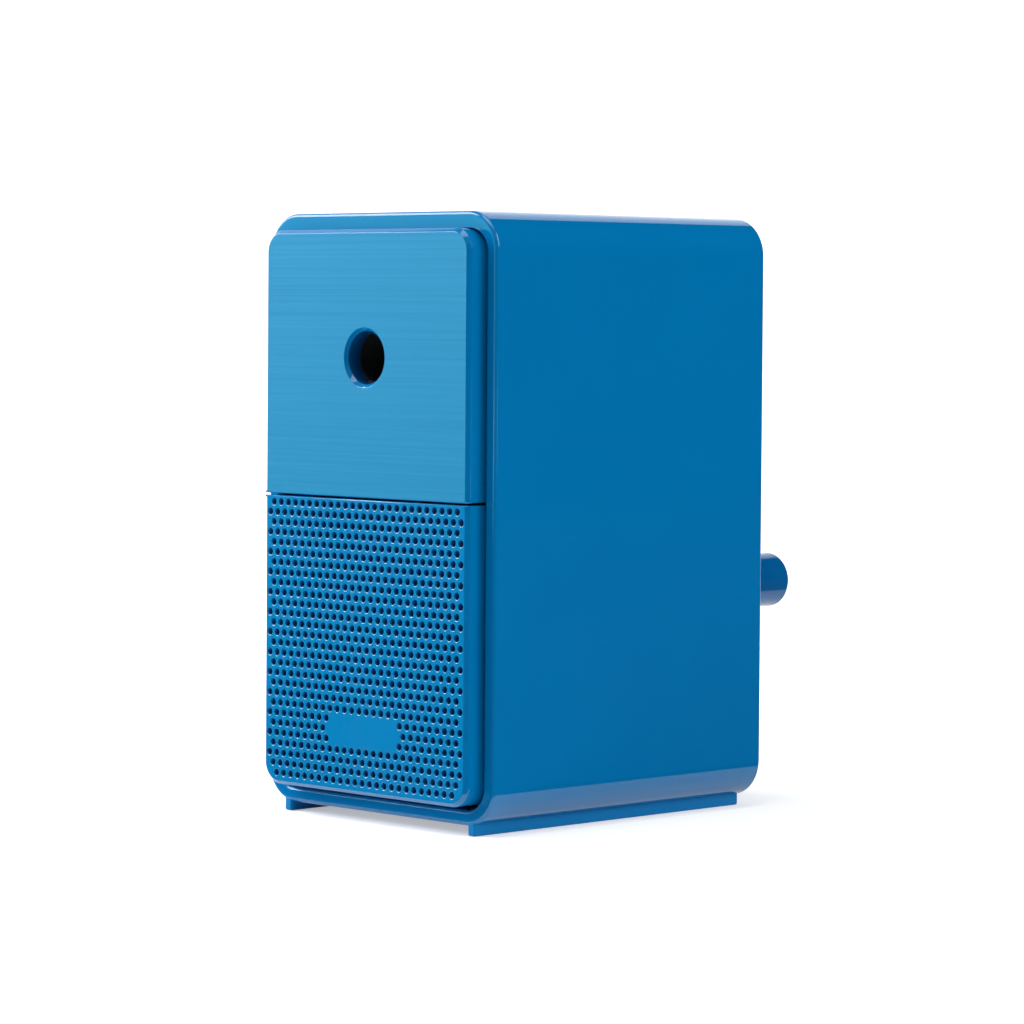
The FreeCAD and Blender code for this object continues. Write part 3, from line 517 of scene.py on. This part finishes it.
sleeveSizes = {
    "wall": 2.8 * mm, "corner": 7.2 * mm, "rimEdge": 0.45 * mm, "lip": 0.75 * mm, "crease": 0.5 * mm,
    "topExtra": 0.24 * mm, "topLip": 0.08 * mm,
    "skidHeight": 1.8 * mm, "skidWidth": 1.9 * mm, "skidSetback": 4.8 * mm, "skidInset": 0.1 * mm,
    "skidTail": 1.0 * mm, "skidEdge": 0.45 * mm,
    "ledgeWidth": 1.5 * mm, "ledgeHeight": 2.0 * mm, "ledgeEdge": 0.15 * mm,
    "columnRadius": 3.4 * mm, "columnLength": 10.0 * mm, "columnBore": 1.15 * mm,
}


def buildSleeve(sizes):
    low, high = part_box("outer_shell")
    half, depth, front = high.x, high.y - low.y, low.y
    bottom = low.z + sizes["skidHeight"]
    outline = frontOutline(half, bottom, high.z, sizes["corner"], sizes["corner"], steps=24)
    wall, edge, lip, crease = (sizes[key] for key in ("wall", "rimEdge", "lip", "crease"))
    sections = []
    for thick, inner in ((wall, lip), (wall + sizes["topExtra"], sizes["topLip"])):
        sections.append(softenCorners([
            (edge, 0, crease), (thick, 0, inner), (thick, depth, inner),
            (edge, depth, crease), (0, depth - edge, crease), (0, edge, crease),
        ], closed=True))
    mesh = bmesh.new()
    rings = []
    for plain, upper in zip(*sections):
        ring = []
        for place, outward in outline:
            inset, y = plain.lerp(upper, max(outward.y, 0.0) ** 2)
            spot = place - outward * inset
            ring.append(mesh.verts.new((spot.x, front + y, spot.y)))
        rings.append(ring)
    for first, second in zip(rings, rings[1:] + rings[:1]):
        bridge(mesh, first, second)
    skidFront, skidBack = front + sizes["skidInset"], high.y - sizes["skidTail"]
    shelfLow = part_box("gear_frame")[0].z
    panelBack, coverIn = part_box("front_panel")[1].y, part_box("gear_frame")[1].y
    for side in (-1, 1):
        outer = side * (half - sizes["skidSetback"])
        inner = outer - side * sizes["skidWidth"]
        addBlock(mesh, (min(outer, inner), skidFront, low.z),
                 (max(outer, inner), skidBack, bottom + wall / 2),
                 edge=sizes["skidEdge"], steps=4, material=1)
        ledge = side * (half - wall - sizes["ledgeWidth"])
        rooted = side * (half - wall / 2)
        addBlock(mesh, (min(ledge, rooted), panelBack, shelfLow - sizes["ledgeHeight"]),
                 (max(ledge, rooted), coverIn, shelfLow), edge=sizes["ledgeEdge"])
    columnFront = coverIn - sizes["columnLength"]
    for centre in screwPlaces("cover_screws")[0]:
        addTube(mesh, centre, sizes["columnRadius"], sizes["columnBore"], columnFront, coverIn)
    finishes = [glossBlue, skidBlue]
    return addPiece("sleeve", mesh, "casing", finishes, ["outer_shell"], sharpest=50)


sleeve = buildSleeve(sleeveSizes)
print("sleeve:", len(sleeve.data.polygons), "faces")


# Fronts: brushed plate above, pitted drawer front below

class PartingShare:
    # bevel grows from the small parting edge to the full bevel round the other sides
    def __init__(self, front, share, partingDown):
        self.front = front
        self.share = share
        self.sign = -1 if partingDown else 1

    def __call__(self, outward):
        facing = max(outward.y * self.sign, 0.0)
        return 1.0 + (self.share - 1.0) * facing


def frontEdge(sizes):
    # flat front, bevel and side, as (inset, depth) points
    bevel, crease = sizes["bevel"], sizes["crease"]
    return softenCorners([
        (bevel + 2 * crease, 0, 0), (bevel, 0, crease), (0, bevel, crease), (0, bevel + 2 * crease, 0),
    ], closed=False)


frontSizes = {
    "corner": 4.08 * mm, "square": 0.25 * mm, "bevel": 0.7 * mm, "partingEdge": 0.18 * mm,
    "crease": 0.10 * mm, "parting": 0.11 * mm,
}
plateSizes = {
    **frontSizes,
    "hole": 4.85 * mm, "holeBevel": 0.65 * mm, "holeCrease": 0.16 * mm,
}


def buildFacePlate(sizes):
    low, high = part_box("face_plate")
    low.z -= sizes["parting"]
    axis = (0.0, frame["joints"][0]["pos_m"][2])
    outline = frontOutline(high.x, low.z, high.z, sizes["square"], sizes["corner"], steps=14)
    share = PartingShare(low.y, sizes["partingEdge"] / sizes["bevel"], True)
    crease, thick = sizes["crease"], high.y - low.y
    mesh = bmesh.new()
    rings = [loopAt(mesh, outline, inset, low.y + y, share) for inset, y in frontEdge(sizes)]
    rings.append(loopAt(mesh, outline, 0, high.y))
    for index, (first, second) in enumerate(zip(rings, rings[1:])):
        bridge(mesh, first, second, 0 if index == 0 else 1)
    radius, flare = sizes["hole"], sizes["holeBevel"]
    mouth = softenCorners([
        (radius + flare + 2 * crease, 0, 0), (radius + flare, 0, crease),
        (radius, flare, sizes["holeCrease"]), (radius, thick, 0),
    ], closed=False)
    holes = [roundLoop(mesh, axis, span, low.y + y, 72) for span, y in mouth]
    for index, (first, second) in enumerate(zip(holes, holes[1:])):
        bridge(mesh, first, second, 0 if index == 0 else 2)
    fillBetween(mesh, [rings[0], holes[0]], 0)
    fillBetween(mesh, [rings[-1], holes[-1]], 1)
    finishes = [brushedBlue, glossBlue, panelBlue]
    return addPiece("facePlate", mesh, "casing", finishes, ["face_plate"], flatAt=low.y)


facePlate = buildFacePlate(plateSizes)
print("face plate:", len(facePlate.data.polygons), "faces")

drawerSizes = {
    **frontSizes,
    "wall": 2.6 * mm, "returnWall": 1.8 * mm, "rise": 0.5 * mm,
    "pitRadius": 0.64 * mm, "pitDepth": 1.4 * mm, "pitLip": 0.17 * mm,
    "pitLit": 0.42 * mm, "pitFloor": 0.2 * mm, "pitSides": 18,
    "pitPitch": 1.975 * mm, "pitRow": 1.873 * mm,
    "pitSide": 1.65 * mm, "pitTop": 1.1 * mm, "pitBottom": 2.1 * mm, "pitCorner": 1.5 * mm,
    "patchHalf": 9.5 * mm, "patchHeight": 5.3 * mm, "patchRise": 8.5 * mm,
}


def pitPlaces(low, high, sizes):
    # staggered rows, bare on the patch and round the lower corners
    half, corner = high.x, sizes["corner"]
    columns = int(2 * (half - sizes["pitSide"]) / sizes["pitPitch"]) + 1
    rows = int((high.z - sizes["pitTop"] - low.z - sizes["pitBottom"]) / sizes["pitRow"]) + 1
    patchLow = low.z + sizes["patchRise"]
    places = []
    for row in range(rows):
        z = high.z - sizes["pitTop"] - row * sizes["pitRow"]
        count = columns - 1 + row % 2
        for column in range(count):
            x = (column - (count - 1) / 2) * sizes["pitPitch"]
            onPatch = abs(x) < sizes["patchHalf"] and patchLow < z < patchLow + sizes["patchHeight"]
            beyond = max(abs(x) - (half - corner), 0)
            below = max(low.z + corner - z, 0)
            past = math.hypot(beyond, below) > corner - sizes["pitCorner"]
            atCorner = beyond > 0 and below > 0 and past
            if not onPatch and not atCorner:
                places.append((x, z))
    return places


def buildDrawerFront(sizes):
    low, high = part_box("drawer_front")
    low.z += sizes["rise"]
    places = pitPlaces(low, high, sizes)
    high.z += sizes["parting"]
    outline = frontOutline(high.x, low.z, high.z, sizes["corner"], sizes["square"], steps=14)
    share = PartingShare(low.y, sizes["partingEdge"] / sizes["bevel"], False)
    mesh = bmesh.new()
    rings = [loopAt(mesh, outline, inset, low.y + y, share) for inset, y in frontEdge(sizes)]
    returnWall = sizes["returnWall"]
    inside = frontOutline(high.x - returnWall, low.z + returnWall, high.z - returnWall,
                          sizes["corner"] - returnWall, sizes["square"], steps=14)
    rings.append(loopAt(mesh, outline, 0, high.y))
    rings.append(loopAt(mesh, inside, 0, high.y))
    rings.append(loopAt(mesh, inside, 0, low.y + sizes["wall"]))
    for first, second in zip(rings, rings[1:]):
        bridge(mesh, first, second, 3)
    fillBetween(mesh, [rings[-1]], 3)
    radius, lip, deep = sizes["pitRadius"], sizes["pitLip"], sizes["pitDepth"]
    arcSteps = 3
    pit = softenCorners([
        (radius + lip, 0, 0), (radius, 0, lip * 0.999),
        (radius, deep, sizes["pitFloor"]), (radius * 0.3, deep, 0),
    ], closed=False, steps=arcSteps)[1:]
    # the wall has the front's colour down to this ring, and below it a darker blue, painted shade
    pit.insert(arcSteps + 1, Vector((radius, sizes["pitLit"])))
    frontSlot, pitShadeSlot, lipSlot = 0, 1, 2
    pitSlots = [lipSlot] * arcSteps + [frontSlot] + [pitShadeSlot] * (len(pit) - arcSteps - 2)
    mouths = []
    for place in places:
        wells = [roundLoop(mesh, place, span, low.y + y, sizes["pitSides"]) for span, y in pit]
        mouths.append(wells[0])
        for first, second, slot in zip(wells, wells[1:], pitSlots):
            bridge(mesh, first, second, slot)
        mesh.faces.new(wells[-1]).material_index = pitShadeSlot
    fillBetween(mesh, [rings[0]] + mouths)
    print("pits:", len(places))
    finishes = [drawerBlue, pitShadeBlue, lipBlue, glossBlue]
    return addPiece("drawerFront", mesh, "drawer", finishes, ["drawer_front"], flatAt=low.y)


drawerFront = buildDrawerFront(drawerSizes)
print("drawer front:", len(drawerFront.data.polygons), "faces")


# Screws: pan heads with a cross recess, all facing the rear

screwForm = {
    "underEdge": 0.1 * mm, "crown": 0.75 * mm, "topShare": 0.7,
    "crossLength": 0.56, "crossWidth": 0.15, "crossSteps": ((1.0, 0.0), (0.9, 0.075), (0.6, 0.55)),
    "pitch": 0.8 * mm, "fewestTurns": 4, "root": 0.82,
    "point": 2.0, "taper": 1.2, "taperShare": 0.8, "tipShare": 0.12, "sides": 40,
}


def crossOutline(length, width):
    quarter = [(length, -width), (length, width), (width, width)]
    points = []
    for turn in range(4):
        spin = Matrix.Rotation(math.pi / 2 * turn, 2)
        points.extend(spin @ Vector(point) for point in quarter)
    return points


def addScrew(mesh, centre, tip, outer, sizes, form):
    head, thick, shank, sides = sizes["head"], sizes["thick"], sizes["shank"], form["sides"]
    bear = outer - thick
    profile = softenCorners([
        (bear, shank, 0), (bear, head, form["underEdge"]), (outer, head, form["crown"]),
        (outer, head * form["topShare"], 0),
    ], closed=False, steps=6)
    rings = [roundLoop(mesh, centre, radius, y, sides) for y, radius in profile]
    crossing = []
    for share, down in form["crossSteps"]:
        outline = crossOutline(head * form["crossLength"] * share, head * form["crossWidth"] * share)
        y = outer - thick * down
        crossing.append([mesh.verts.new((centre[0] + p.x, y, centre[1] + p.y)) for p in outline])
    for first, second in list(zip(rings, rings[1:])) + list(zip(crossing, crossing[1:])):
        bridge(mesh, first, second)
    fillBetween(mesh, [rings[-1], crossing[0]])
    fillBetween(mesh, [crossing[-1]])
    # thread: a root and a crest at each pitch, then the point
    length = bear - tip - form["point"] * shank
    turns = max(form["fewestTurns"], int(length / form["pitch"]))
    thread = []
    for turn in range(turns):
        top = bear - length * (turn + 0.25) / turns
        thread.append((top, shank * form["root"]))
        thread.append((top - length * 0.5 / turns, shank))
    thread.append((tip + form["taper"] * shank, shank * form["taperShare"]))
    thread.append((tip, shank * form["tipShare"]))
    turned = [rings[0]] + [roundLoop(mesh, centre, radius, y, sides) for y, radius in thread]
    for first, second in zip(turned, turned[1:]):
        bridge(mesh, first, second)
    mesh.faces.new(turned[-1])


for name, sizes in screwSizes.items():
    places, tip, outer = screwPlaces(name)
    mesh = bmesh.new()
    for place in places:
        addScrew(mesh, place, tip, outer, sizes, screwForm)
    piece = addPiece(sizes["piece"], mesh, sizes["body"], [brightSteel], [name], sharpest=35)
    print(sizes["piece"], len(places), "screws,", len(piece.data.polygons), "faces")


# Finishes of the CAD pieces that stay

nodeFinishes = {
    glossBlue: ["crank_arm"],
    panelBlue: ["front_panel"],
    satinBlue: ["rear_cover"],
    knobBlue: ["crank_knob"],
    trayBlue: ["drawer_tray"],
    frameGrey: ["gear_frame"],
    guideBlack: ["pencil_guide", "shaft_bush"],
    acetalWhite: ["ring_gear", "cutter_pinion"],
    castZinc: ["cutter_carrier"],
    toolSteel: ["helical_cutter"],
    brightSteel: [
        "cutter_axle", "cutter_washers", "crank_shaft", "drive_pin", "thrust_washer", "retaining_clip",
        "knob_pin", "panel_screws",
    ],
}
for finish, names in nodeFinishes.items():
    for name in names:
        node = cadNodes[name]
        node.data.materials.clear()
        node.data.materials.append(finish)
print("finishes set on CAD pieces")


# Floor, backdrop and light

stageSizes = {
    "floorRadius": 4.0, "wallDistance": 1.6, "wallHeight": 2.4, "wallBend": 0.5, "bendSteps": 12,
    "turn": 45.5, "nearGlow": 0.42,
}


def stageFinish(name, nearGlow):
    # white card: its own glow shows to the camera and in gloss, and adds no diffuse light
    material = bpy.data.materials.new(name)
    material.use_nodes = True
    tree = material.node_tree
    tree.nodes.clear()
    out = tree.nodes.new("ShaderNodeOutputMaterial")
    card = addNode(tree, "ShaderNodeBsdfDiffuse", {"Color": (0.82, 0.82, 0.82, 1)})
    path = tree.nodes.new("ShaderNodeLightPath")
    seen = mathNode(tree, "MAXIMUM", path.outputs["Is Camera Ray"], path.outputs["Is Glossy Ray"])
    seen = mathNode(tree, "MAXIMUM", seen, path.outputs["Is Transmission Ray"])
    coords = tree.nodes.new("ShaderNodeTexCoord").outputs["Object"]
    reach = addNode(tree, "ShaderNodeVectorMath", {0: coords}, operation="LENGTH").outputs["Value"]
    far = addNode(tree, "ShaderNodeMapRange", {"Value": reach, "From Min": 0.10, "From Max": 0.60},
                  interpolation_type="SMOOTHSTEP").outputs["Result"]
    glow = spread(tree, far, 0.0, 1.0, nearGlow, 1.0)
    shine = addNode(tree, "ShaderNodeEmission", {"Strength": mathNode(tree, "MULTIPLY", glow, seen)})
    both = tree.nodes.new("ShaderNodeAddShader")
    tree.links.new(card.outputs[0], both.inputs[0])
    tree.links.new(shine.outputs[0], both.inputs[1])
    tree.links.new(both.outputs[0], out.inputs["Surface"])
    return material


def buildStage(sizes):
    # floor that bends up into a wall behind the object, as seen by the camera
    mesh = bmesh.new()
    bend, distance, height = sizes["wallBend"], sizes["wallDistance"], sizes["wallHeight"]
    profile = [(-sizes["floorRadius"], 0.0), (distance - bend, 0.0)]
    for step in range(1, sizes["bendSteps"] + 1):
        angle = math.pi / 2 * step / sizes["bendSteps"]
        profile.append((distance - bend + bend * math.sin(angle), bend - bend * math.cos(angle)))
    profile.append((distance, height))
    rows = []
    for across in (-sizes["floorRadius"], sizes["floorRadius"]):
        rows.append([mesh.verts.new((across, along, up)) for along, up in profile])
    for index in range(len(profile) - 1):
        mesh.faces.new((rows[0][index], rows[1][index], rows[1][index + 1], rows[0][index + 1]))
    data = bpy.data.meshes.new("studioSweep")
    mesh.to_mesh(data)
    mesh.free()
    for polygon in data.polygons:
        polygon.use_smooth = True
    data.materials.append(stageFinish("studioWhite", sizes["nearGlow"]))
    sweep = bpy.data.objects.new("studioSweep", data)
    sweep.rotation_euler.z = math.radians(sizes["turn"])
    scene.collection.objects.link(sweep)


buildStage(stageSizes)


def lyingCard(left, right, near, far, lift=0.4 * mm):
    return [(left, near, lift), (right, near, lift), (right, far, lift), (left, far, lift)]


def standingCard(first, second, low, high):
    return [(*first, low), (*second, low), (*second, high), (*first, high)]


darkCards = {
    "rightFloor": lyingCard(0.044, 1.6, -1.6, 1.6),
    "frontFloor": lyingCard(-1.6, 0.048, -1.6, -0.063),
    "rear": standingCard((-0.38, 1.35), (1.30, 1.35), 0.0, 2.2),
    "right": standingCard((1.30, 1.35), (1.60, 0.05), 0.0, 0.8),
    "behindCamera": standingCard((1.15, -0.35), (0.25, -1.25), 0.0, 0.55),
}
litCards = {
    "leftCard": {
        "corners": standingCard((-0.95, -0.30), (-0.30, -0.95), 0.118, 0.22),
        "tint": (0.22, 1.0, 0.86, 1), "glow": 2.3,
    },
    "edgeStrip": {
        "corners": standingCard((-0.574, -0.819), (-0.208, -0.978), 0.0, 0.25),
        "tint": (0.3, 0.9, 1.0, 1), "glow": 3.4,
    },
}


def buildCard(name, corners, tint=(1, 1, 1, 1), glow=0.0):
    # studio card, black or lit in a tint, seen only in gloss
    data = bpy.data.meshes.new(name)
    data.from_pydata(corners, [], [(0, 1, 2, 3)])
    card = bpy.data.objects.new(name, data)
    finish = bpy.data.materials.new(name)
    finish.use_nodes = True
    shader = finish.node_tree.nodes["Principled BSDF"]
    shader.inputs["Base Color"].default_value = (0.02, 0.02, 0.02, 1)
    shader.inputs["Roughness"].default_value = 1.0
    shader.inputs["Specular IOR Level"].default_value = 0.0
    shader.inputs["Emission Color"].default_value = tint
    shader.inputs["Emission Strength"].default_value = glow
    data.materials.append(finish)
    card.visible_camera = False
    card.visible_diffuse = False
    card.visible_transmission = False
    card.visible_shadow = False
    scene.collection.objects.link(card)


for name, corners in darkCards.items():
    buildCard(name, corners)
for name, card in litCards.items():
    buildCard(name, card["corners"], card["tint"], card["glow"])

world = bpy.data.worlds.new("studioAir")
world.use_nodes = True
world.node_tree.nodes["Background"].inputs["Color"].default_value = (1.0, 1.0, 1.0, 1.0)
world.node_tree.nodes["Background"].inputs["Strength"].default_value = 0.14
scene.world = world

softboxes = {
    "topBox": {"place": (0.10, -0.25, 1.0), "size": (0.7, 0.7), "power": 5.0},
    "leftBox": {"place": (-0.80, -0.50, 0.52), "size": (0.7, 0.8), "power": 17.0},
    "rightBox": {"place": (0.95, 0.33, 0.62), "size": (0.5, 0.6), "power": 6.9},
}
target = Vector((0.0, 0.0, 0.055))
for name, box in softboxes.items():
    lamp = bpy.data.lights.new(name, "AREA")
    lamp.shape = "RECTANGLE"
    lamp.size, lamp.size_y = box["size"]
    lamp.energy = box["power"]
    holder = bpy.data.objects.new(name, lamp)
    holder.location = box["place"]
    holder.rotation_euler = (target - Vector(box["place"])).to_track_quat("-Z", "Y").to_euler()
    holder.visible_camera = False
    scene.collection.objects.link(holder)
print("stage and lights set")


# Camera, fitted to the edges of the sleeve in the photograph

cameraFit = {
    "place": (0.5277, -0.5368, 0.0937),
    "yaw": 45.476, "pitch": 1.837, "roll": 0.4,
    "focalPixels": 3924.0, "framePixels": 1024.0, "centreRow": 438.3, "sensor": 36.0,
}


def buildCamera(fit):
    camera = bpy.data.cameras.new("photoCamera")
    camera.sensor_width = fit["sensor"]
    camera.lens = fit["focalPixels"] / fit["framePixels"] * fit["sensor"]
    camera.shift_y = (fit["centreRow"] - fit["framePixels"] / 2) / fit["framePixels"]
    camera.clip_start = 0.02
    camera.clip_end = 50.0
    holder = bpy.data.objects.new("photoCamera", camera)
    yaw, pitch, roll = (math.radians(fit[key]) for key in ("yaw", "pitch", "roll"))
    back = Vector((math.sin(yaw) * math.cos(pitch), -math.cos(yaw) * math.cos(pitch), math.sin(pitch)))
    right = Vector((math.cos(yaw), math.sin(yaw), 0.0))
    up = back.cross(right)
    tiltedRight = right * math.cos(roll) + up * math.sin(roll)
    tiltedUp = up * math.cos(roll) - right * math.sin(roll)
    axes = Matrix((tiltedRight, tiltedUp, back)).transposed().to_4x4()
    holder.matrix_world = Matrix.Translation(fit["place"]) @ axes
    scene.collection.objects.link(holder)
    scene.camera = holder


buildCamera(cameraFit)
print("camera set")
